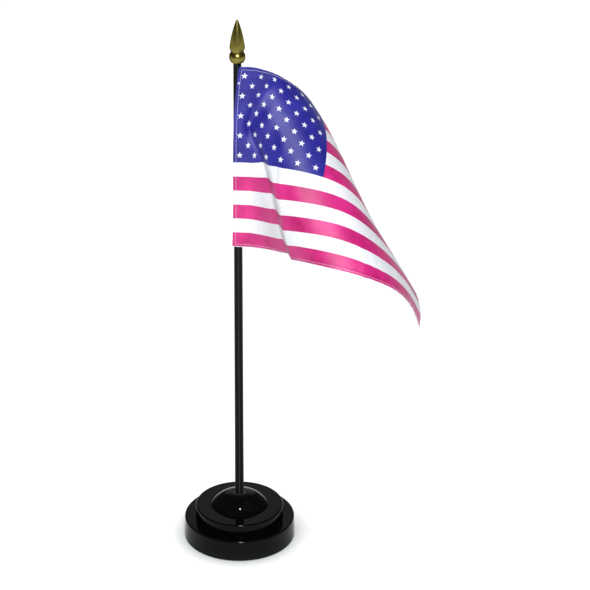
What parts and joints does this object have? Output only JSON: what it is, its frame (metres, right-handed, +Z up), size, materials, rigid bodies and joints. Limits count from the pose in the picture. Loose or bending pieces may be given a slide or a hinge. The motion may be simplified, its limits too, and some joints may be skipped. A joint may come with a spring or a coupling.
{
  "type": "desk flag stand",
  "caption": "Small desk flag stand: striped cloth flag glued to a slim black staff with a gold spear tip, standing in a weighted, stepped and domed round black base.",
  "frame": {"origin": "centre of the pad's underside, on the surface that the stand rests on, below the staff", "axes": "+Z up along the staff, +X towards the flag's fly end, -Y towards the side the flag's face is seen from"},
  "size_m": [0.1251, 0.1061, 0.2972],
  "materials": {
    "base_plastic": "polished black injection moulding",
    "cover_plastic": "plain black moulding",
    "weight_steel": "zinc plated",
    "pad_felt": "black felt",
    "sleeve_vinyl": "soft black vinyl",
    "staff_black": "glossy black",
    "finial_gold": "metallised gold",
    "flag_fabric": "thin printed woven cloth",
    "clear_glue": "clear set glue"
  },
  "bodies": {
    "base": {"base_shell": "base_plastic", "bottom_cover": "cover_plastic", "weight_disc": "weight_steel", "felt_pad": "pad_felt"},
    "grip": {"socket_sleeve": "sleeve_vinyl"},
    "flagstaff": {"staff": "staff_black", "spear_finial": "finial_gold", "flag_cloth": "flag_fabric", "hoist_adhesive": "clear_glue"}
  },
  "joints": [
    {"name": "staff_turn", "type": "hinge", "parent": "base", "child": "grip", "pos_m": [0, 0, 0.0256], "axis": [0, 0, 1], "continuous": true},
    {"name": "staff_lift", "type": "slide", "parent": "grip", "child": "flagstaff", "axis": [0, 0, 1], "range_m": [0, 0.026]}
  ]
}
